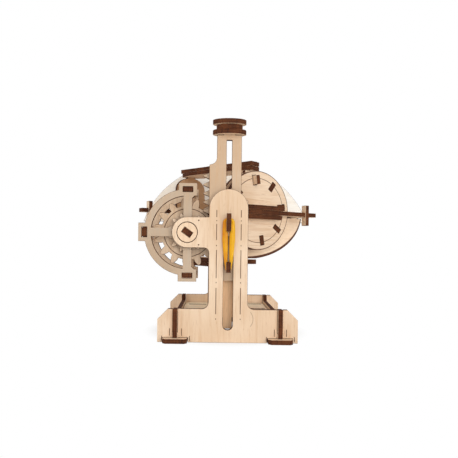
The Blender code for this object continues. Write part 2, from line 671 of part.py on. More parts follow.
def second_train():
    """A short axle behind the column, with the pinion that the drive gear turns and its kicker."""
    h = SECOND_AXLE / 2
    square = rectangle(-h, -h, h, h)
    socket = rectangle(-h - GAP, -h - GAP, h + GAP, h + GAP)
    near = RACK_MID - PLY / 2
    far = BRACKET_MID + PLY / 2
    rod("second_axle", square, SECOND_X, SECOND_Z, near, far)
    lead = (DRIVE_GEAR_PHASE - SECOND_ANGLE) * DRIVE_GEAR_TEETH / SMALL_PINION_TEETH
    phase = SECOND_ANGLE + pi - lead + pi / SMALL_PINION_TEETH
    pinion = involute_gear(SMALL_PINION_TEETH, SMALL_PINION_RADIUS, 1.8 * MM, 2.6 * MM, PRESSURE,
                           0.4 * MM, phase)
    plate("small_pinion", pinion, Vector((SECOND_X, GEAR_MID, SECOND_Z)), UPRIGHT, [socket])
    arm = 2.2 * MM
    hub = 4.2 * MM
    kicker = arc(KICKER_REACH - arm, 0, arm, -90, 90, 6)
    kicker += arc(0, 0, hub, 35, 145, 6)
    kicker += arc(-KICKER_REACH + arm, 0, arm, 90, 270, 6)
    kicker += arc(0, 0, hub, 215, 325, 6)
    plate("kicker", kicker, Vector((SECOND_X, KICKER_MID, SECOND_Z)), UPRIGHT, [socket])
    bearing = moved(arc(0, 0, SECOND_BEARING, 0, 340, 17), SECOND_X, SECOND_Z)
    side = BRACKET_HALF_WIDTH
    seat = SHELF_TOP + GAP
    tenon = SHELF_TENON / 2
    floor = SHELF_TOP - PLY
    outline = [(-side, seat), (-tenon, seat), (-tenon, floor), (tenon, floor), (tenon, seat), (side, seat)]
    outline += arc(SECOND_X, SECOND_Z, side, 0, 180, 12)
    plate("second_axle_bracket", outline, Vector((0, BRACKET_MID, 0)), UPRIGHT, [bearing])


def tab_section(angle, grow):
    r = TAB_RADIUS
    long = TAB_LENGTH / 2 + grow
    thin = PLY / 2 + grow
    return turned(rectangle(r - long, -thin, r + long, thin), angle)


def indicator_disc():
    """Two discs keyed together by radial tabs, on a round axle. One tab stands proud as a stop."""
    angles = [TAB_PHASE + 2 * pi * i / TAB_COUNT for i in range(TAB_COUNT)]
    mortises = [tab_section(a, GAP) for a in angles]
    bore = arc(0, 0, HEAD_AXLE_RADIUS + GAP, 0, 345, 23)
    rim = arc(0, 0, DISC_RADIUS, 0, 355, 71)
    back_at = DISC_AT - 2 * PITCH_OF_LAYERS
    head_plate("disc_front", rim, DISC_AT, mortises + [bore])
    head_plate("disc_back", rim, back_at, mortises + [bore])
    low = back_at - PLY / 2
    for i, angle in enumerate(angles):
        high = DISC_AT + PLY / 2
        name = "disc_tab_" + str(i + 1)
        if i == STOP_PEG_INDEX:
            high += STOP_PEG_PROUD
            name = "disc_stop_peg"
        mesh = plate_mesh(name, tab_section(angle, 0), [], high - low)
        put(name, mesh, head_place(0, (low + high) / 2, 0), TURN @ UPRIGHT, WOOD)
    near = DISC_AT + PLY / 2
    far = FAR_POST_AT - PLY / 2
    mesh = plate_mesh("disc_axle", arc(0, 0, HEAD_AXLE_RADIUS, 0, 345, 23), [], near - far)
    put("disc_axle", mesh, head_place(0, (near + far) / 2, 0), TURN @ UPRIGHT, WOOD)


def level_mortise(s, t):
    """A slot in a level plate for the tenon of an upright one."""
    long = HEAD_TENON / 2 + GAP
    thin = PLY / 2 + GAP
    return rectangle(s - long, -t - thin, s + long, -t + thin)


def upright_tenon(s, shoulder, end):
    """The four corners of a tenon, in the order that suits an outline drawn anticlockwise."""
    half = HEAD_TENON / 2
    step = half if end < shoulder else -half
    return [(s - step, shoulder), (s - step, end), (s + step, end), (s + step, shoulder)]


def posts():
    """Two upright plates carry the disc's axle. The near one spreads into a wing beside the disc."""
    seat = CRADLE_SEAT - HEAD_Z
    floor = CRADLE_LOW_MID - PLY / 2 - HEAD_Z
    roof = BRIDGE_LOW_MID - PLY / 2 - GAP - HEAD_Z
    peak = BRIDGE_HIGH_MID + PLY / 2 + GAP - HEAD_Z
    bearing = arc(0, 0, HEAD_AXLE_RADIUS + RUNNING, 0, 345, 23)
    post = POST_HALF_WIDTH
    low = CRADLE_S
    top = NEAR_POST_TOP
    near = [(low - post, seat)] + upright_tenon(low, seat, floor) + wing_band(seat, top + post)
    near += [(top + post, roof)] + upright_tenon(top, roof, peak) + [(top - post, roof), (-post, 8 * MM)]
    head_plate("wing_plate", near, NEAR_POST_AT, [bearing])
    top = FAR_POST_TOP
    wide = FAR_POST_HALF_WIDTH
    lobe = FAR_POST_LOBE
    drop = roof - wide * 0.75
    far = [(low - post, seat)] + upright_tenon(low, seat, floor) + [(low + post, seat)]
    far += [(low + post, -wide), (lobe, -lobe), (lobe, lobe), (top + wide, wide)]
    far += ellipse_arc(top, drop, wide, roof - drop, 0, 75, 6) + upright_tenon(top, roof, peak)
    far += ellipse_arc(top, drop, wide, roof - drop, 105, 180, 6)
    far += [(top - wide, -lobe), (low - post, -2 * wide)]
    head_plate("far_post", far, FAR_POST_AT, [bearing])


def wing_band(seat, post_side):
    """The curved band from the cradle's seat round to the right arm's tenon, and back inside."""
    shoulder = RIGHT_ARM_Z - PLY / 2 - GAP - HEAD_Z
    peak = RIGHT_ARM_Z + PLY / 2 + GAP - HEAD_Z
    rx, rz = WING_OUTER
    ix, iz = WING_INNER
    left, right = WING_TENON
    leave = -asin(-seat / rz) * 180 / pi
    arrive = -asin(-shoulder / rz) * 180 / pi
    depart = -asin(-shoulder / iz) * 180 / pi
    meet = -degrees_of((post_side - WING_CENTRE) / ix)
    band = ellipse_arc(WING_CENTRE, 0, rx, rz, leave, arrive, 22)
    band += [(right, shoulder), (right, peak), (left, peak), (left, shoulder)]
    return band + ellipse_arc(WING_CENTRE, 0, ix, iz, depart, meet, 18)


def degrees_of(cosine):
    return acos(cosine) * 180 / pi


def bridge():
    """Two level strips over the disc, from the near post to the far one."""
    run = NEAR_POST_AT - FAR_POST_AT
    drift = NEAR_POST_TOP - FAR_POST_TOP
    slant = atan2(drift, run)
    mortises = [level_mortise(NEAR_POST_TOP, NEAR_POST_AT), level_mortise(FAR_POST_TOP, FAR_POST_AT)]
    length = sqrt(run ** 2 + drift ** 2)
    w = BRIDGE_HALF_WIDTH
    near = -2.5 * MM
    far = length + 5.5 * MM
    high = [(-w, near), (w, near), (w, far), (-w, far)]
    wide = BRIDGE_WIDE
    low = [(-w, near), (w, near), (wide, 12 * MM), (wide, far - 12 * MM), (w, far - 1.5 * MM)]
    low += [(-w, far - 1.5 * MM), (-wide, far - 12 * MM), (-wide, 12 * MM)]
    for word, shape, z in (("top", high, BRIDGE_HIGH_MID), ("lower", low, BRIDGE_LOW_MID)):
        placed = moved(turned(shape, slant), NEAR_POST_TOP, -NEAR_POST_AT)
        head_shelf("bridge_" + word, placed, z, mortises)


def cradle():
    """Two level layers that the head stands on. The upper one has a narrow rounded nose."""
    r = CRADLE_TIP_RADIUS
    w = CRADLE_HALF_WIDTH
    s = CRADLE_S
    waist = -NEAR_POST_AT - PITCH_OF_LAYERS
    outline = arc(s, -CRADLE_FAR - w, w, 0, 180, 12) + [(s - w, waist + 8 * MM), (s - r, waist)]
    outline += arc(s, -CRADLE_NEAR + r, r, 180, 360, 12) + [(s + r, waist), (s + w, waist + 8 * MM)]
    mortises = [level_mortise(s, t) for t in (NEAR_POST_AT, FAR_POST_AT, *PEDESTAL_AT)]
    head_shelf("cradle_top", outline, CRADLE_MID, mortises)
    near_end = -NEAR_POST_AT - 3 * MM
    outline = arc(s, -CRADLE_FAR - w, w, 0, 180, 12) + arc(s, near_end + w, w, 180, 360, 12)
    head_shelf("cradle_lower", outline, CRADLE_LOW_MID, mortises)
    under = CRADLE_UNDER - HEAD_Z
    roof = CRADLE_MID + PLY / 2 - HEAD_Z
    stand = SHELF_TOP + GAP - HEAD_Z
    floor = SHELF_TOP - PLY - HEAD_Z
    p = PEDESTAL_HALF_WIDTH
    outline = [(s - p, stand)] + upright_tenon(s, stand, floor) + [(s + p, stand), (s + p, under)]
    outline += upright_tenon(s, under, roof) + [(s - p, under)]
    for t, word in zip(PEDESTAL_AT, ("near", "far")):
        head_plate("pedestal_" + word, outline, t)


def arm_outline(inner, tip, plate_s, front, back):
    """A long arm, drawn in s and minus t. Its front edge is notched for the tip plate."""
    neck = PLY / 2 + GAP
    step = neck if tip > inner else -neck
    middle = (front + back) / 2
    return [
        (inner, back), (inner, front), (plate_s - step, front), (plate_s - step, middle),
        (plate_s + step, middle), (plate_s + step, front), (tip, front), (tip, back),
    ]


def arms():
    """A three-layer arm in front of the disc, whose heel sits on the wing, and a left arm."""
    half = ARM_WIDTH / 2
    front = -RIGHT_ARM_AT - half
    back = -RIGHT_ARM_AT + half
    long_arm = arm_outline(RIGHT_ARM_INNER, RIGHT_ARM_TIP, RIGHT_TIP_PLATE, front, back)
    heel_left, heel_right = RIGHT_HEEL
    heel = -NEAR_POST_AT + PLY + GAP
    long_arm += [(heel_right, back), (heel_right, heel), (heel_left, heel), (heel_left, back)]
    left, right = WING_TENON
    slit = PLY / 2 + GAP
    socket = rectangle(left - GAP, -NEAR_POST_AT - slit, right + GAP, -NEAR_POST_AT + slit)
    head_shelf("arm_right_middle", long_arm, RIGHT_ARM_Z, [socket])
    top = rectangle(RIGHT_ARM_INNER, front, RIGHT_BLOCK_TOP, back)
    head_shelf("arm_right_top", top, RIGHT_ARM_Z + PITCH_OF_LAYERS)
    bottom = rectangle(RIGHT_ARM_INNER, front, RIGHT_BLOCK_BOTTOM, back)
    head_shelf("arm_right_bottom", bottom, RIGHT_ARM_Z - PITCH_OF_LAYERS)
    tip_plate("right", RIGHT_TIP_PLATE, RIGHT_ARM_AT, RIGHT_ARM_Z)
    front = -LEFT_ARM_AT - half
    back = -LEFT_ARM_AT + half
    outline = arm_outline(LEFT_ARM_INNER, LEFT_ARM_TIP, LEFT_TIP_PLATE, front, back)
    head_shelf("arm_left", outline, LEFT_ARM_Z)
    tip_plate("left", LEFT_TIP_PLATE, LEFT_ARM_AT, LEFT_ARM_Z)


def tip_plate(word, s, t, z):
    """The upright plate at an arm's tip. It sits in the arm's notch and hooks over it."""
    front = t + ARM_WIDTH / 2 + 0.3 * MM
    notch = t + GAP
    gap = PLY / 2 + GAP
    back = front - TIP_DEPTH
    outline = [
        (notch, -gap), (back, -gap), (back, -TIP_LOWER), (front, -TIP_LOWER),
        (front, TIP_UPPER), (back, TIP_UPPER), (back, gap), (notch, gap),
    ]
    shape = [(-x, y) for x, y in outline]
    mesh = plate_mesh("tip_plate_" + word, shape, [], PLY)
    put("tip_plate_" + word, mesh, head_place(s, 0, z - HEAD_Z), TURN @ SIDEWAYS, WOOD)


def dial_board():
    """The arched board behind the tower, keyed to the back plate by a short peg."""
    rise = BOARD_CUT_Z - BOARD_CENTRE_Z
    start = 90 - acos(rise / BOARD_RADIUS) * 180 / pi
    board = arc(0, BOARD_CENTRE_Z, BOARD_RADIUS, start, 180 - start, 40)
    y = BACK_MID + PITCH_OF_LAYERS
    tall = BOARD_PEG_HEIGHT / 2
    wide = PLY / 2
    hole = rectangle(-wide - GAP, BOARD_PEG_Z - tall - GAP, wide + GAP, BOARD_PEG_Z + tall + GAP)
    plate("dial_board", board, Vector((0, y, 0)), UPRIGHT, [hole])
    peg = rectangle(BACK_MID - PLY / 2, -tall, y + PLY / 2, tall)
    plate("board_peg", peg, Vector((0, 0, BOARD_PEG_Z)), SIDEWAYS)


clear_scene()
WOOD = material("laser_cut_birch_ply", FACE, 0.6)
RUBBER = material("yellow_rubber", YELLOW, 0.35)
base()
shelf()
slider()
slider_guides()
lugs_and_band()
cage()
drive_train()
second_train()
indicator_disc()
posts()
bridge()
cradle()
arms()
dial_board()
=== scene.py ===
# %% [markdown]
# A small plywood puzzle stands on a pale table. Every piece of it was cut from one sheet of
# thin birch ply by a laser, then pushed together without glue. The solids come ready made and
# ready placed, so this lesson is about how the cut wood, the engraving and the rubber band look.

import bpy
import json
import random
from math import cos, pi, radians, sin
from mathutils import Matrix, Vector

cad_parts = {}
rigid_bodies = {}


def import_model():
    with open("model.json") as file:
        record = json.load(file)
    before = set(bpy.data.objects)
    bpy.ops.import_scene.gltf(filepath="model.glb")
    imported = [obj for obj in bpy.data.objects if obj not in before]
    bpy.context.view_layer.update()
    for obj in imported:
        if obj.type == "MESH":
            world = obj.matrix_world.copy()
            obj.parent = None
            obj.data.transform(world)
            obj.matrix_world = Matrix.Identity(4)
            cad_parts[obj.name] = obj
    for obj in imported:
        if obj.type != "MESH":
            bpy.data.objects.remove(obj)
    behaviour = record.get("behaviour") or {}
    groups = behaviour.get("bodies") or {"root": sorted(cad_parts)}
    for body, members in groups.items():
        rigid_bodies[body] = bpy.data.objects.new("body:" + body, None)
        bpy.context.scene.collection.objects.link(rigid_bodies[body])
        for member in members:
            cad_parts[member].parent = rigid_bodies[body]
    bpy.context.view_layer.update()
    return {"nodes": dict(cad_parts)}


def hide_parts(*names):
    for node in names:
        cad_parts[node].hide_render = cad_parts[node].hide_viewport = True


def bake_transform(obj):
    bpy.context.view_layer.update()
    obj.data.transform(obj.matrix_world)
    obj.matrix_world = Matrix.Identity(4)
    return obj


for leftover in list(bpy.data.objects):
    bpy.data.objects.remove(leftover, do_unlink=True)
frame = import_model()
nodes = frame["nodes"]
MM = 0.001
print("solids on the bench:", len(nodes))

# %% [markdown]
# The ply is 2.8 mm thick and almost every piece is a flat plate, so one fact decides its look:
# which way its broad face points. The face keeps the pale birch, and everything square to it was
# burnt by the laser. We find that direction by measuring each solid along a few likely axes and
# keeping the one along which it is only as thick as the sheet.

# %% Find which way each plate faces
SHEET = 2.8 * MM
THICKNESS_MISS = 0.1 * MM
HEAD_TURN = radians(33.0)
LIKELY = {
    "y": Vector((0, 1, 0)),
    "x": Vector((1, 0, 0)),
    "z": Vector((0, 0, 1)),
    "axle": Vector((sin(HEAD_TURN), -cos(HEAD_TURN), 0)),
    "rim": Vector((cos(HEAD_TURN), sin(HEAD_TURN), 0)),
}


def span_along(solid, axis):
    """How far a solid reaches along an axis, as its lowest and highest place on it."""
    places = [corner.co.dot(axis) for corner in solid.data.vertices]
    return min(places), max(places)


def broad_face_of(solid):
    """The name of the axis across the sheet, and the place of the sheet's middle on it."""
    found = []
    for word, axis in LIKELY.items():
        low, high = span_along(solid, axis)
        found.append((abs(high - low - SHEET), word, (low + high) / 2))
    miss, word, middle = min(found)
    return word, middle, miss


facing = {}
for name, solid in nodes.items():
    facing[name] = broad_face_of(solid)
odd_ones = sorted(name for name, (word, middle, miss) in facing.items() if miss > THICKNESS_MISS)
print("not as thick as the sheet along any axis:", odd_ones)

# %% [markdown]
# Rods and key tabs are cut along the sheet as well, but what shows of them is nearly all burnt
# edge. They get the same two looks with a facing of their own: the long rods show the birch on
# one pair of sides, and the round axle and the little keys show mostly end grain.

# %% Settle the facing of rods and keys
ROD_FACING = {"drive_axle": "x", "second_axle": "x", "disc_axle": "axle", "disc_stop_peg": "rim"}
for name in odd_ones:
    word = ROD_FACING.get(name, "rim" if name.startswith("disc_tab") else "z")
    low, high = span_along(nodes[name], LIKELY[word])
    facing[name] = (word, (low + high) / 2, 0.0)
END_GRAIN_ONLY = {name for name in nodes if name.startswith("disc_tab")}
END_GRAIN_ONLY |= {"drive_axle", "second_axle", "board_peg", "disc_axle"}
print("shown as end grain:", len(END_GRAIN_ONLY))

# %% [markdown]
# Grain runs along the sheet. An upright plate was nested with its long side along the grain, so
# its lines run up and down. A level plate has them along its length, and the layers of the
# oblique head follow the head's own directions. The noise is drawn out along the grain later on.

# %% Choose the grain direction
GRAIN_OF = {
    "y": Vector((0, 0, 1)),
    "x": Vector((0, 1, 0)),
    "z": Vector((1, 0, 0)),
    "axle": Vector((cos(HEAD_TURN), sin(HEAD_TURN), 0)),
    "rim": Vector((sin(HEAD_TURN), -cos(HEAD_TURN), 0)),
}
ALONG_BRIDGE = Vector((0.8, -0.6, 0))
ALONG_BOARD = Vector((1, 0, 0))


def grain_of(name):
    """The direction of the grain in one piece."""
    if name.startswith("arm_"):
        return GRAIN_OF["axle"]
    if name.startswith("bridge") or name.startswith("cradle"):
        return ALONG_BRIDGE
    if name == "dial_board":
        return ALONG_BOARD
    return GRAIN_OF[facing[name][0]]


print("grain of the front plate:", tuple(grain_of("front_plate")))

# %% [markdown]
# Materials here are small networks. These helpers keep the network code short: each adds one
# node, wires its inputs and hands back its output. A number goes straight into the socket and a
# socket is linked.

# %% Helpers that wire a finish
class Bench:
    """A finish being made, with short ways to add and join its nodes."""

    def __init__(self, name):
        self.finish = bpy.data.materials.new(name)
        self.finish.use_nodes = True
        self.tree = self.finish.node_tree
        self.shader = self.tree.nodes["Principled BSDF"]

    def add(self, kind, **settings):
        """A new node with its settings."""
        node = self.tree.nodes.new(kind)
        for key, value in settings.items():
            setattr(node, key, value)
        return node

    def wire(self, value, socket):
        """Links a socket, or puts a number straight in."""
        if isinstance(value, bpy.types.NodeSocket):
            self.tree.links.new(value, socket)
        else:
            socket.default_value = value

    def sum(self, operation, a, b=0.0, c=0.0):
        """One step of arithmetic."""
        node = self.add("ShaderNodeMath", operation=operation)
        for value, socket in zip((a, b, c), node.inputs):
            self.wire(value, socket)
        return node.outputs[0]

    def along(self, vector, axis):
        """How far a point lies along an axis."""
        node = self.add("ShaderNodeVectorMath", operation="DOT_PRODUCT")
        self.wire(vector, node.inputs[0])
        node.inputs[1].default_value = axis
        return node.outputs["Value"]

    def ramp(self, value, low, high, to_low=0.0, to_high=1.0):
        """A soft step from one value to another."""
        node = self.add("ShaderNodeMapRange", interpolation_type="SMOOTHSTEP")
        for item, socket in zip((value, low, high, to_low, to_high), node.inputs):
            self.wire(item, socket)
        return node.outputs[0]

    def noise(self, vector, scale, detail=2.0, rough=0.5, twist=0.0):
        """Soft noise between zero and one."""
        node = self.add("ShaderNodeTexNoise")
        self.wire(vector, node.inputs["Vector"])
        node.inputs["Scale"].default_value = scale
        node.inputs["Detail"].default_value = detail
        node.inputs["Roughness"].default_value = rough
        node.inputs["Distortion"].default_value = twist
        return node.outputs["Fac"]

    def blend(self, share, a, b):
        """Mixes two colours."""
        node = self.add("ShaderNodeMix", data_type="RGBA")
        self.wire(share, node.inputs["Factor"])
        for value, word in ((a, "A"), (b, "B")):
            socket = [s for s in node.inputs if s.name == word and s.type == "RGBA"][0]
            self.wire(value, socket)
        return [s for s in node.outputs if s.type == "RGBA"][0]

    def blend_value(self, share, a, b):
        """Mixes two numbers."""
        node = self.add("ShaderNodeMix", data_type="FLOAT")
        self.wire(share, node.inputs["Factor"])
        for value, word in ((a, "A"), (b, "B")):
            socket = [s for s in node.inputs if s.name == word and s.type == "VALUE"][0]
            self.wire(value, socket)
        return [s for s in node.outputs if s.type == "VALUE"][0]

    def moved(self, vector, offset):
        """A point shifted by a fixed offset."""
        node = self.add("ShaderNodeVectorMath", operation="ADD")
        self.wire(vector, node.inputs[0])
        node.inputs[1].default_value = offset
        return node.outputs[0]

    def squeezed(self, vector, axis, share):
        """A point pushed together along an axis, which draws a pattern out along it."""
        push = self.add("ShaderNodeVectorMath", operation="SCALE")
        push.inputs[0].default_value = axis
        self.wire(self.sum("MULTIPLY", self.along(vector, axis), -share), push.inputs["Scale"])
        node = self.add("ShaderNodeVectorMath", operation="ADD")
        self.wire(vector, node.inputs[0])
        self.wire(push.outputs[0], node.inputs[1])
        return node.outputs[0]

    def bump(self, height, depth, below=None):
        """Relief of a given depth, on top of an earlier one."""
        node = self.add("ShaderNodeBump")
        node.inputs["Strength"].default_value = 1.0
        node.inputs["Distance"].default_value = depth
        self.wire(height, node.inputs["Height"])
        if below is not None:
            self.wire(below, node.inputs["Normal"])
        return node.outputs[0]


def tone(red, green, blue):
    """A screen colour as the linear light that a shader wants."""
    return tuple(((c + 0.055) / 1.055) ** 2.4 for c in (red, green, blue)) + (1.0,)


print("a test tone:", [round(c, 3) for c in tone(0.92, 0.81, 0.68)])

# %% [markdown]
# Colours of the wood. Birch faces are a warm cream with slightly darker growth lines. The laser
# leaves the edges dark brown, with thin black glue lines between the veneers, and the heat
# scorches a hair's breadth of the face beside every cut. The board at the back is far paler.

# %% Colours of birch and scorched edge
BIRCH_PALE = tone(0.955, 0.852, 0.738)
BIRCH_WARM = tone(0.90, 0.777, 0.645)
BIRCH_LINE = tone(0.80, 0.64, 0.48)
PORE = tone(0.66, 0.49, 0.34)
EDGE_BROWN = tone(0.305, 0.15, 0.055)
EDGE_PALE = tone(0.41, 0.225, 0.108)
EDGE_DARK = tone(0.15, 0.065, 0.03)
# MARK_BURN_AND_SHADE colours engraving and burn, and also the painted shadow along the disc's rim.
MARK_BURN_AND_SHADE = tone(0.36, 0.21, 0.13)
WASHED_PALE = tone(1.0, 0.985, 0.95)
WASHED_WARM = tone(1.0, 0.96, 0.90)
print("edge brown:", [round(c, 3) for c in EDGE_BROWN])

# %% [markdown]
# Engraved lines are burnt a fraction of a millimetre deep. Each is described in the object's own
# millimetres, so it stays where it was engraved when a piece moves. A line is a rectangle and a
# ring is a circle's narrow band: both are masks that are one inside and zero outside.

# %% Masks for engraved lines and rings
FULL_TO = 0.6
STRIP_GONE_AT = 1.2
RING_GONE_AT = 1.3
STRIP_END_FADE = 0.15 * MM


def mask_of_strip(bench, across, along, middle, half_width, low, high):
    """One inside an upright strip, zero outside it."""
    off = bench.sum("ABSOLUTE", bench.sum("SUBTRACT", across, middle))
    inside = bench.ramp(off, half_width * FULL_TO, half_width * STRIP_GONE_AT, 1.0, 0.0)
    centre = (low + high) / 2
    reach = (high - low) / 2
    far = bench.sum("ABSOLUTE", bench.sum("SUBTRACT", along, centre))
    ends = bench.ramp(far, reach, reach + STRIP_END_FADE, 1.0, 0.0)
    return bench.sum("MULTIPLY", inside, ends)


def mask_of_ring(bench, across, up, centre, radius, half_width):
    """One on a circle's narrow band."""
    dx = bench.sum("SUBTRACT", across, centre[0])
    dz = bench.sum("SUBTRACT", up, centre[1])
    square = bench.sum("ADD", bench.sum("MULTIPLY", dx, dx), bench.sum("MULTIPLY", dz, dz))
    distance = bench.sum("SQRT", square)
    off = bench.sum("ABSOLUTE", bench.sum("SUBTRACT", distance, radius))
    return bench.ramp(off, half_width * FULL_TO, half_width * RING_GONE_AT, 1.0, 0.0)


def strongest(bench, masks):
    """The highest of several masks."""
    total = masks[0]
    for mask in masks[1:]:
        total = bench.sum("MAXIMUM", total, mask)
    return total


print("engraving helpers are ready")

# %% [markdown]
# Where the engraving lies. Two dashed lines run down the front column beside the slot, short
# ticks stand beside the rails' slits and the feet, and thin circles run round the gear and the
# disc. A faint curved fleck lies in the grain of the right wing. The same masks paint a dark ring
# along the disc's rim, part burn and part painted contact shadow of the plate behind, and a dark
# band along the wing's outer edge. All were measured from the photograph and turned into
# millimetres at the plate's face.

# %% Places of the engraved lines
DASH_X = (-7.2 * MM, 7.5 * MM)
DASHES = ((79.6, 75.4), (73.5, 73.0), (71.2, 61.6), (58.6, 58.0), (55.6, 38.8), (36.4, 35.8),
          (32.8, 17.2), (14.5, 13.9))
TICKS_BESIDE_RAIL = (-34.8, -27.6, 28.1, 35.4)
TICKS_BESIDE_FOOT = (-39.6, -22.8, 23.4, 40.2)
RAIL_TICK = (4.0 * MM, 8.2 * MM)
FOOT_TICK = (1.0 * MM, 3.7 * MM)
LINE_HALF = 0.22 * MM
PINS = ((-18.0 * MM, 73.3 * MM), (-18.0 * MM, 58.6 * MM))
PIN_RADIUS = 0.45 * MM
FLECK_CENTRE = (8.6 * MM, 14.2 * MM)
FLECK_BEND = 6.6 * MM
FLECK_SPAN = (FLECK_BEND * 0.70, FLECK_BEND * 0.80)
FLECK_STRENGTH = 0.4
DRIVE = (-24.9 * MM, 66.1 * MM)
GEAR_RING = 14.8 * MM
DISC_RING = 20.95 * MM
DISC_LINE_HALF = LINE_HALF * 0.8
# The ring at DISC_RIM is part scorch and part painted contact shadow of the plate behind the disc.
DISC_RIM, RIM_SCORCH_AND_SHADE = 25.8 * MM, 0.55 * MM
WING_SHIFT = -2.0 * MM
WING_OVAL = (49.3 * MM, 32.0 * MM)
WING_BAND_LOW, WING_BAND_HIGH = 0.050, 0.018
WING_BAND_FADE = (0.992, 1.002)
HEAD_AT = Vector((2.63 * MM, 7.75 * MM, 81.6 * MM))


def engraved_front(bench, point):
    """Dashed lines, pin marks, ticks and the curved fleck of the front plate."""
    x = bench.along(point, (1, 0, 0))
    z = bench.along(point, (0, 0, 1))
    masks = []
    for line in DASH_X:
        for high, low in DASHES:
            masks.append(mask_of_strip(bench, x, z, line, LINE_HALF, low * MM, high * MM))
    for pin in PINS:
        masks.append(mask_of_ring(bench, x, z, pin, 0.0, PIN_RADIUS))
    for ticks, (low, high) in ((TICKS_BESIDE_RAIL, RAIL_TICK), (TICKS_BESIDE_FOOT, FOOT_TICK)):
        for tick in ticks:
            masks.append(mask_of_strip(bench, x, z, tick * MM, LINE_HALF, low, high))
    fleck = mask_of_ring(bench, x, z, FLECK_CENTRE, FLECK_BEND, LINE_HALF)
    beside = bench.ramp(bench.sum("SUBTRACT", x, FLECK_CENTRE[0]), *FLECK_SPAN)
    masks.append(bench.sum("MULTIPLY", bench.sum("MULTIPLY", fleck, beside), FLECK_STRENGTH))
    return strongest(bench, masks)


def engraved_gear(bench, point):
    """The circle round the drive gear."""
    x = bench.along(point, (1, 0, 0))
    z = bench.along(point, (0, 0, 1))
    return mask_of_ring(bench, x, z, DRIVE, GEAR_RING, LINE_HALF)


def engraved_disc_and_rim_shade(bench, point):
    """The disc's thin circle, and a dark rim ring: part burn, part painted contact shadow."""
    s_axis = LIKELY["rim"]
    s = bench.along(point, s_axis)
    z = bench.along(point, (0, 0, 1))
    centre = (HEAD_AT.dot(s_axis), HEAD_AT.z)
    ring = mask_of_ring(bench, s, z, centre, DISC_RING, DISC_LINE_HALF)
    rim = mask_of_ring(bench, s, z, centre, DISC_RIM, RIM_SCORCH_AND_SHADE)
    return strongest(bench, [ring, rim])


def dark_wing_edge_band(bench, point):
    """A dark band along the wing's outer edge, wider towards the bottom. It follows the wing's
    oval.
    """
    s_axis = LIKELY["rim"]
    s = bench.sum("SUBTRACT", bench.along(point, s_axis), HEAD_AT.dot(s_axis) + WING_SHIFT)
    z = bench.sum("SUBTRACT", bench.along(point, (0, 0, 1)), HEAD_AT.z)
    s = bench.sum("DIVIDE", s, WING_OVAL[0])
    z = bench.sum("DIVIDE", z, WING_OVAL[1])
    round_sum = bench.sum("ADD", bench.sum("MULTIPLY", s, s), bench.sum("MULTIPLY", z, z))
    reach = bench.sum("SQRT", round_sum)
    wider = bench.ramp(z, -1.0, 0.0, WING_BAND_LOW, WING_BAND_HIGH)
    return bench.ramp(bench.sum("ADD", reach, wider), *WING_BAND_FADE)


ENGRAVED_AND_DARK_BANDS = {
    "front_plate": engraved_front,
    "drive_gear": engraved_gear,
    "disc_front": engraved_disc_and_rim_shade,
    "wing_plate": dark_wing_edge_band,
}
print("engraved pieces:", sorted(ENGRAVED_AND_DARK_BANDS))

# %% [markdown]
# No two sheets have quite the same tone. Most get theirs by a seeded draw. A few are listed one
# by one, as is the washed pale board. Some of these are sheets that look darker, lighter or browner
# in the photograph. On others the tone is painted light or shade: the slider, its rack and the far
# post are darkened and browned as painted shade, and the wing, the guide plate and the shelf are
# lifted as painted light.

# %% Tones of single sheets, with painted light and shade on some
PALE_BOARDS = {"dial_board"}
# Painted shade darkens slider_bar, slider_rack and far_post; painted light lifts wing_plate,
# slider_guide_plate and base_shelf.
SHEET_TONE_AND_PAINTED_LIGHT = {"slider_bar": 0.70, "slider_rack": 0.68, "cage_plate_front": 0.58, "wing_plate": 1.12,
              "disc_front": 0.90, "slider_guide_plate": 1.08, "front_plate": 0.90, "far_post": 0.60,
              "base_shelf": 1.25}
# The tan tints warm the painted shade of far_post and of the shaded slider and guide plate.
TAN_AND_PAINTED_SHADE = {"slider_guide_plate": (1.0, 0.84, 0.66), "far_post": (1.0, 0.80, 0.62),
          "slider_bar": (1.0, 0.96, 0.92)}
UNTANNED = (1.0, 1.0, 1.0)
TONE_RANGE = (0.92, 1.0)
GRAIN_STRENGTH = (0.28, 0.5)
WASHED_GRAIN_STRENGTH = 0.12


def toned(colour, share, tint_and_shade):
    """A sheet made darker, lighter or browner, by its own tone or by painted light and shade."""
    return tuple(min(1.0, channel * share * part) for channel, part in zip(colour, tint_and_shade)) + (1.0,)


print("sheets with a tone of their own:", len(SHEET_TONE_AND_PAINTED_LIGHT))

# %% [markdown]
# The broad face first. Noise that is drawn out along the grain gives the growth lines, a finer
# one the pores, and a wide one that isn't drawn out gives the slow change of tone across a sheet.

# %% Birch on the broad faces
GRAIN_SQUEEZE = 0.93
LINE_NOISE = {"scale": 700.0, "detail": 3.0, "rough": 0.6, "twist": 0.6}
PORE_NOISE = {"scale": 2600.0, "detail": 1.0, "rough": 0.5}
CLOUD_NOISE = {"scale": 28.0, "detail": 2.0, "rough": 0.5}
LINE_FROM, LINE_TO = 0.42, 0.72
PORE_FROM, PORE_TO, PORE_MOST = 0.66, 0.80, 0.55
CLOUD_FROM, CLOUD_TO, CLOUD_MOST = 0.35, 0.68, 0.85


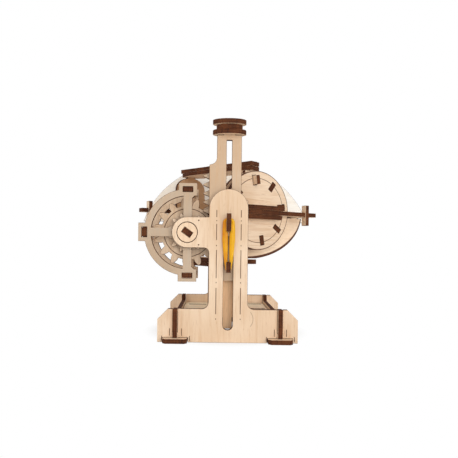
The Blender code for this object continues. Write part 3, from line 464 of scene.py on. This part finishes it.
def birch_face(bench, name, sheet_point, lines, draw):
    """The colour of a broad face: growth lines, pores, a slow change of tone, painted light and
    shade.
    """
    pores = bench.noise(bench.squeezed(sheet_point, grain_of(name), GRAIN_SQUEEZE), **PORE_NOISE)
    cloud = bench.noise(sheet_point, **CLOUD_NOISE)
    growth = bench.ramp(lines, LINE_FROM, LINE_TO)
    fleck = bench.ramp(pores, PORE_FROM, PORE_TO, 0.0, PORE_MOST)
    warm = bench.ramp(cloud, CLOUD_FROM, CLOUD_TO, 0.0, CLOUD_MOST)
    if name in PALE_BOARDS:
        pale, deep, strength = WASHED_PALE, WASHED_WARM, WASHED_GRAIN_STRENGTH
    else:
        pale, deep, strength = BIRCH_PALE, BIRCH_WARM, draw.uniform(*GRAIN_STRENGTH)
    share = SHEET_TONE_AND_PAINTED_LIGHT.get(name, draw.uniform(*TONE_RANGE))
    tint_and_shade = TAN_AND_PAINTED_SHADE.get(name, UNTANNED)
    birch = bench.blend(warm, toned(pale, share, tint_and_shade), toned(deep, share, tint_and_shade))
    birch = bench.blend(bench.sum("MULTIPLY", growth, strength), birch, BIRCH_LINE)
    return bench.blend(bench.sum("MULTIPLY", fleck, strength * 2), birch, PORE)


print("growth lines are drawn out by:", round(1 / (1 - GRAIN_SQUEEZE)))

# %% [markdown]
# Then the burnt edge. The distance from the sheet's middle draws two glue lines, with a paler
# core between them, and noise that hardly changes through the thickness draws the laser's streaks.

# %% Burnt wood on the edges
EDGE_SQUEEZE = 0.9
STREAK_NOISE = {"scale": 1500.0, "detail": 2.0, "rough": 0.6}
BURN_NOISE = {"scale": 160.0, "detail": 2.0, "rough": 0.5}
GLUE_AT, GLUE_FULL, GLUE_GONE, GLUE_STRENGTH = 0.36, 0.03, 0.09, 0.8
CORE_FROM, CORE_TO, CORE_STRENGTH = 0.30, 0.42, 0.35
BURN_FROM, BURN_TO = 0.35, 0.7
STREAK_FROM, STREAK_TO, STREAK_MOST = 0.45, 0.75, 0.7


def burnt_edge(bench, sheet_point, height, middle, streaks):
    """The colour of a cut edge: three veneers with two glue lines, streaked by the laser."""
    from_middle = bench.sum("ABSOLUTE", bench.sum("SUBTRACT", height, middle))
    off = bench.sum("DIVIDE", from_middle, SHEET / 2)
    from_glue = bench.sum("ABSOLUTE", bench.sum("SUBTRACT", off, GLUE_AT))
    glue = bench.ramp(from_glue, GLUE_FULL, GLUE_GONE, 1.0, 0.0)
    core = bench.ramp(off, CORE_FROM, CORE_TO, 1.0, 0.0)
    burn = bench.noise(sheet_point, **BURN_NOISE)
    edge = bench.blend(bench.ramp(burn, BURN_FROM, BURN_TO), EDGE_BROWN, EDGE_PALE)
    edge = bench.blend(bench.sum("MULTIPLY", core, CORE_STRENGTH), edge, EDGE_PALE)
    streaked = bench.ramp(streaks, STREAK_FROM, STREAK_TO, 0.0, STREAK_MOST)
    edge = bench.blend(streaked, edge, EDGE_DARK)
    return bench.blend(bench.sum("MULTIPLY", glue, GLUE_STRENGTH), edge, EDGE_DARK)


print("a glue line lies at this share of half the sheet:", GLUE_AT)

# %% [markdown]
# Both looks come together by the way the surface faces. Little keys and axle ends show hardly any
# birch. Growth lines and streaks also shape the surface a little, and engraved lines lie deeper.
# A polished face shines a bit more than a burnt edge, which is dull with soot.

# %% The ply finish
FACE_FROM, FACE_TO = 0.80, 0.97
END_GRAIN_BIRCH = 0.15
RELIEF_SHARE = 0.5
RELIEF_DEPTH = 0.06 * MM
ENGRAVED_DEPTH = 0.15 * MM
GLOSS_FROM, GLOSS_TO, GLOSS_LOW, GLOSS_HIGH = 0.3, 0.8, 0.50, 0.66
EDGE_ROUGHNESS = 0.78
WOOD_SPECULAR = 0.22


def ply_finish(name, seed):
    """The whole finish of one piece."""
    draw = random.Random(seed)
    word, middle, miss = facing[name]
    axis = LIKELY[word]
    bench = Bench(name + "_ply")
    place = bench.add("ShaderNodeTexCoord")
    point = place.outputs["Object"]
    sheet_point = bench.moved(point, [draw.uniform(-1, 1) for i in range(3)])
    lines = bench.noise(bench.squeezed(sheet_point, grain_of(name), GRAIN_SQUEEZE), **LINE_NOISE)
    birch = birch_face(bench, name, sheet_point, lines, draw)
    height = bench.along(point, axis)
    streaks = bench.noise(bench.squeezed(point, axis, EDGE_SQUEEZE), **STREAK_NOISE)
    edge = burnt_edge(bench, sheet_point, height, middle, streaks)
    turned = bench.sum("ABSOLUTE", bench.along(place.outputs["Normal"], axis))
    on_face = bench.ramp(turned, FACE_FROM, FACE_TO)
    if name in END_GRAIN_ONLY:
        on_face = bench.sum("MULTIPLY", on_face, END_GRAIN_BIRCH)
    colour = bench.blend(on_face, edge, birch)
    relief = bench.sum("MULTIPLY", bench.sum("SUBTRACT", 1.0, lines), RELIEF_SHARE)
    relief = bench.sum("SUBTRACT", relief, bench.sum("MULTIPLY", streaks, RELIEF_SHARE))
    hollow = bench.bump(relief, RELIEF_DEPTH)
    # The marks add engraving, burn, the wing's dark band and the painted shadow on the disc's rim.
    if name in ENGRAVED_AND_DARK_BANDS:
        mark_burn_and_shade = bench.sum("MULTIPLY", ENGRAVED_AND_DARK_BANDS[name](bench, point), on_face)
        colour = bench.blend(mark_burn_and_shade, colour, MARK_BURN_AND_SHADE)
        hollow = bench.bump(bench.sum("SUBTRACT", 1.0, mark_burn_and_shade), ENGRAVED_DEPTH, hollow)
    bench.wire(colour, bench.shader.inputs["Base Color"])
    gloss = bench.ramp(lines, GLOSS_FROM, GLOSS_TO, GLOSS_LOW, GLOSS_HIGH)
    rough = bench.blend_value(on_face, EDGE_ROUGHNESS, gloss)
    bench.wire(rough, bench.shader.inputs["Roughness"])
    bench.wire(hollow, bench.shader.inputs["Normal"])
    bench.shader.inputs["Specular IOR Level"].default_value = WOOD_SPECULAR
    return bench.finish


print("sheet thickness in the finish:", SHEET)

# %% [markdown]
# A real cut edge is never razor sharp. A tiny bevel catches the light and gives the scorched line
# that outlines every plate. The solids come with their corners split, so they are welded first.
# Both are modifiers, which leaves the solids themselves as they were.

# %% Ease the edges and lay the finish on
BEVEL = 0.16 * MM
WELD_WITHIN = 0.002 * MM
SHARP_FROM = radians(35.0)
FIRST_SEED = 100


def ease_edges(solid):
    """Welds the split corners and eases every sharp edge."""
    custom = solid.data.attributes.get("custom_normal")
    if custom is not None:
        solid.data.attributes.remove(custom)
    weld = solid.modifiers.new("weld", "WELD")
    weld.merge_threshold = WELD_WITHIN
    bevel = solid.modifiers.new("eased", "BEVEL")
    bevel.width = BEVEL
    bevel.segments = 1
    bevel.limit_method = "ANGLE"
    bevel.angle_limit = SHARP_FROM
    bevel.use_clamp_overlap = True


wooden = [name for name in sorted(nodes) if name != "rubber_band"]
for number, name in enumerate(wooden):
    solid = nodes[name]
    for polygon in solid.data.polygons:
        polygon.use_smooth = False
    ease_edges(solid)
    finish = ply_finish(name, FIRST_SEED + number)
    solid.data.materials.clear()
    solid.data.materials.append(finish)
print("finished in ply:", len(wooden))

# %% [markdown]
# The rubber band is a soft loop of yellow silicone, stretched between two hooked lugs. Its two
# strands lie side by side in front of the slot. They bulge a little below the upper lug and draw
# together towards the lower one. It could be a curve with a bevel, but a swept mesh lets the
# band's width change along its way, so we sweep an oval along a closed path.

# %% The path of the band
BAND_Y = -45.4 * MM
CROSS_TOP, CROSS_FOOT = 74.1 * MM, 43.3 * MM
STRAND_TOP, STRAND_FOOT = 72.2 * MM, 45.2 * MM
OUTLINE = ((0.0, 1.95), (0.12, 2.5), (0.30, 3.1), (0.60, 3.85), (0.85, 3.8), (1.0, 3.55))
INNER_FOOT, INNER_GROWTH = 0.9, 0.7
PINCH_FOOT, PINCH_GROWTH = 0.55, 0.65
CROSSING_HALF = 0.85 * MM
STEPS = 24
TURN_STEPS = 8


def outline_at(share):
    """How far out the band bulges, between the widths that the photograph shows."""
    for (low, narrow), (high, wide) in zip(OUTLINE, OUTLINE[1:]):
        if share <= high:
            part = (share - low) / (high - low)
            return (narrow + (wide - narrow) * part) * MM
    return OUTLINE[-1][1] * MM


def strand_at(share):
    """Centre, half width and height of the right strand, from foot to top."""
    outer = outline_at(share)
    pinch = (PINCH_FOOT + PINCH_GROWTH * share) * sin(pi * share) ** 0.5
    inner = (INNER_FOOT + INNER_GROWTH * share - pinch) * MM
    z = STRAND_FOOT + (STRAND_TOP - STRAND_FOOT) * share
    return (outer + inner) / 2, z, (outer - inner) / 2


def crossing(centre_x, strand_z, cross_z, start_half):
    """A quarter turn from a strand to the middle of the part that wraps a lug."""
    points = []
    for i in range(1, TURN_STEPS + 1):
        share = i / TURN_STEPS
        angle = pi / 2 * share
        z = strand_z + (cross_z - strand_z) * sin(angle)
        half = start_half + (CROSSING_HALF - start_half) * share
        points.append((centre_x * cos(angle), z, half))
    return points


def band_path():
    """Points round the loop, with how wide the band is at each."""
    right = [strand_at(i / STEPS) for i in range(STEPS + 1)]
    over = crossing(right[-1][0], STRAND_TOP, CROSS_TOP, right[-1][2])
    under = crossing(right[0][0], STRAND_FOOT, CROSS_FOOT, right[0][2])
    half_loop = under[::-1] + right + over
    mirrored = [(-x, z, half) for x, z, half in reversed(half_loop[1:-1])]
    return half_loop + mirrored


loop = band_path()
print("points round the band:", len(loop))

# %% [markdown]
# At each point of the path we lay an oval across the way the band runs, as wide as the path says
# there and always equally deep, and join each oval to the next.

# %% Sweep the band
SECTION = 14
BAND_HALF_DEPTH = 0.78 * MM


def swept_band(name, path):
    """A closed oval tube. Its width follows the path and its depth stays the same."""
    corners, faces = [], []
    count = len(path)
    for i, (x, z, half) in enumerate(path):
        ahead, behind = path[(i + 1) % count], path[i - 1]
        way = Vector((ahead[0] - behind[0], 0, ahead[1] - behind[1])).normalized()
        side = Vector((way.z, 0, -way.x))
        for k in range(SECTION):
            angle = 2 * pi * k / SECTION
            out = side * half * cos(angle)
            deep = BAND_HALF_DEPTH * sin(angle)
            corners.append((x + out.x, BAND_Y + deep, z + out.z))
    for i in range(count):
        for k in range(SECTION):
            a, b = i * SECTION + k, i * SECTION + (k + 1) % SECTION
            c, d = ((i + 1) % count) * SECTION, (k + 1) % SECTION
            faces.append((a, b, c + d, c + k))
    mesh = bpy.data.meshes.new(name)
    mesh.from_pydata(corners, [], faces)
    mesh.update()
    for polygon in mesh.polygons:
        polygon.use_smooth = True
    made = bpy.data.objects.new(name, mesh)
    bpy.context.scene.collection.objects.link(made)
    return made


band = swept_band("stretched_band", loop)
print("faces of the band:", len(band.data.polygons))

# %% [markdown]
# Silicone lets light in and scatters it, so the band glows where it is thin and turns orange
# over the dark slot. Some transmission and scattering under the surface give that, with a faint
# ripple in the moulding and a soft gloss. Its left side is painted a deeper orange as painted
# shade.

# %% The silicone finish
YELLOW_DEEP_SHADED = tone(0.86, 0.50, 0.0)
YELLOW_CLEAR = tone(0.96, 0.74, 0.06)
BAND_CLOUD = {"scale": 150.0, "detail": 2.0, "rough": 0.5}
BAND_RIPPLE = {"scale": 900.0, "detail": 2.0, "rough": 0.5}
BAND_SHADE_SPAN = (-4.0 * MM, 4.0 * MM)
MID_NOISE = (0.3, 0.7)
CLEAR_MOST = 0.6
BAND_GLOSS = (0.30, 0.42)
RIPPLE_DEPTH = 0.02 * MM
BAND_SPECULAR = 0.3
LIGHT_THROUGH = 0.2
LIGHT_SCATTERED = 0.30
SCATTER_COLOURS = (1.0, 0.55, 0.1)
SCATTER_REACH = 1.0 * MM
SILICONE_IOR = 1.42


def silicone_finish():
    """Soft yellow silicone that lets a little light through, with painted shade on its left side.
    """
    bench = Bench("yellow_silicone")
    place = bench.add("ShaderNodeTexCoord")
    point = place.outputs["Object"]
    cloud = bench.noise(point, **BAND_CLOUD)
    ripple = bench.noise(point, **BAND_RIPPLE)
    clear = bench.ramp(cloud, *MID_NOISE, 0.0, CLEAR_MOST)
    shaded_left = bench.blend(clear, YELLOW_DEEP_SHADED, YELLOW_CLEAR)
    # Painted shade: the colour deepens to orange towards the left strand.
    lit_share_to_right = bench.ramp(bench.along(point, (1, 0, 0)), *BAND_SHADE_SPAN)
    bench.wire(bench.blend(lit_share_to_right, shaded_left, YELLOW_CLEAR), bench.shader.inputs["Base Color"])
    bench.wire(bench.ramp(ripple, *MID_NOISE, *BAND_GLOSS), bench.shader.inputs["Roughness"])
    bench.wire(bench.bump(ripple, RIPPLE_DEPTH), bench.shader.inputs["Normal"])
    settings = {
        "Specular IOR Level": BAND_SPECULAR,
        "Transmission Weight": LIGHT_THROUGH,
        "Subsurface Weight": LIGHT_SCATTERED,
        "Subsurface Radius": SCATTER_COLOURS,
        "Subsurface Scale": SCATTER_REACH,
        "IOR": SILICONE_IOR,
    }
    for word, value in settings.items():
        bench.shader.inputs[word].default_value = value
    return bench.finish


band.data.materials.append(silicone_finish())
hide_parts("rubber_band")
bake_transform(band)
print("the band stretches from the front plate to the plunger")

# %% [markdown]
# The puzzle was shot on white, so floor and surroundings are plain and very pale. The floor
# takes the shadow near the feet and fades into white further out, which is done by distance from
# the object and only for what the camera sees, so the light on the wood stays at a plain level.

# %% The floor
FADE_FROM, FADE_TO = 0.038, 0.058
SHADOW_LIFT = 0.5
TABLE_COLOUR = tone(0.975, 0.972, 0.968)
TABLE_ROUGHNESS = 0.7
TABLE_HALF = 3.0
TABLE_DROP = 0.05 * MM


def floor_finish():
    """A pale table top that turns white further out, as the camera sees it."""
    bench = Bench("pale_table")
    bench.shader.inputs["Base Color"].default_value = TABLE_COLOUR
    bench.shader.inputs["Roughness"].default_value = TABLE_ROUGHNESS
    place = bench.add("ShaderNodeTexCoord")
    span = bench.add("ShaderNodeVectorMath", operation="LENGTH")
    bench.wire(place.outputs["Object"], span.inputs[0])
    fade = bench.ramp(span.outputs["Value"], FADE_FROM, FADE_TO, SHADOW_LIFT, 1.0)
    seen = bench.add("ShaderNodeLightPath").outputs["Is Camera Ray"]
    white = bench.add("ShaderNodeEmission")
    white.inputs["Strength"].default_value = 1.0
    mix = bench.add("ShaderNodeMixShader")
    bench.wire(bench.sum("MULTIPLY", fade, seen), mix.inputs[0])
    bench.wire(bench.shader.outputs[0], mix.inputs[1])
    bench.wire(white.outputs[0], mix.inputs[2])
    ends = [node for node in bench.tree.nodes if node.type == "OUTPUT_MATERIAL"]
    bench.wire(mix.outputs[0], ends[0].inputs["Surface"])
    return bench.finish


def flat_floor(half):
    """One large square just under the feet."""
    mesh = bpy.data.meshes.new("table_top")
    corners = [(-half, -half, 0), (half, -half, 0), (half, half, 0), (-half, half, 0)]
    mesh.from_pydata(corners, [], [(0, 1, 2, 3)])
    made = bpy.data.objects.new("table_top", mesh)
    bpy.context.scene.collection.objects.link(made)
    made.location.z = -TABLE_DROP
    made.data.materials.append(floor_finish())
    return made


floor = flat_floor(TABLE_HALF)
print("floor half width:", TABLE_HALF)

# %% [markdown]
# Soft, even light comes from all round, as in a light tent. The world gives most of it. A large
# soft lamp in front on the right, a weaker one on the left and a small one near the floor give
# the faces their shape. What the camera sees of the world is plain white.

# %% The light
TENT = 0.62
AIM = Vector((0, 0, 0.07))
LAMPS = (
    ("key", (0.30, -0.86, 0.28), 3.9, 0.9),
    ("side", (-0.8, -0.5, 0.45), 1.6, 0.6),
    ("low", (0.50, -0.62, 0.04), 0.9, 0.5),
)


def light_tent():
    """Even white light from all sides, plain white to the camera."""
    world = bpy.data.worlds.new("light_tent")
    bpy.context.scene.world = world
    world.use_nodes = True
    tree = world.node_tree
    base = tree.nodes["Background"]
    base.inputs["Color"].default_value = (1.0, 1.0, 1.0, 1.0)
    ray = tree.nodes.new("ShaderNodeLightPath")
    lift = tree.nodes.new("ShaderNodeMapRange")
    tree.links.new(ray.outputs["Is Camera Ray"], lift.inputs["Value"])
    lift.inputs["To Min"].default_value = TENT
    lift.inputs["To Max"].default_value = 1.0
    tree.links.new(lift.outputs[0], base.inputs["Strength"])


def soft_lamp(name, place, power, width):
    """A round area lamp that looks at the middle of the object."""
    lamp = bpy.data.lights.new(name, "AREA")
    lamp.shape = "DISK"
    lamp.size = width
    lamp.energy = power
    made = bpy.data.objects.new(name, lamp)
    bpy.context.scene.collection.objects.link(made)
    made.location = place
    way = AIM - Vector(place)
    made.rotation_euler = way.to_track_quat("-Z", "Y").to_euler()
    return made


light_tent()
for name, place, power, width in LAMPS:
    soft_lamp(name, place, power, width)
print("tent strength:", TENT, "lamps:", len(LAMPS))

# %% [markdown]
# The camera stands straight in front, at the height of the gears, close enough that the base
# plate's far end looks smaller. A small roll and shift put the object where it stands in the
# photograph's frame.

# %% The camera
VIEW_AT = (-9.3 * MM, -324.0 * MM, 58.0 * MM)
VIEW_ROLL = 0.012
FRAME_SIDE = 458
FOCAL_PIXELS = 466.7
SHIFT_PIXELS = (16, 17)
SENSOR = 36.0
NEAREST, FARTHEST = 0.01, 20.0


def photo_camera():
    """The camera, placed and turned as it was for the photograph."""
    data = bpy.data.cameras.new("photo_camera")
    camera = bpy.data.objects.new("photo_camera", data)
    bpy.context.scene.collection.objects.link(camera)
    data.sensor_width = SENSOR
    data.lens = FOCAL_PIXELS * SENSOR / FRAME_SIDE
    data.shift_x = SHIFT_PIXELS[0] / FRAME_SIDE
    data.shift_y = SHIFT_PIXELS[1] / FRAME_SIDE
    data.clip_start = NEAREST
    data.clip_end = FARTHEST
    upright = Matrix.Rotation(pi / 2, 4, "X")
    camera.matrix_world = Matrix.Translation(VIEW_AT) @ upright @ Matrix.Rotation(VIEW_ROLL, 4, "Z")
    bpy.context.scene.camera = camera
    return camera


camera = photo_camera()
bpy.context.scene.view_settings.view_transform = "Standard"
print("lens:", round(camera.data.lens, 1), "mm")
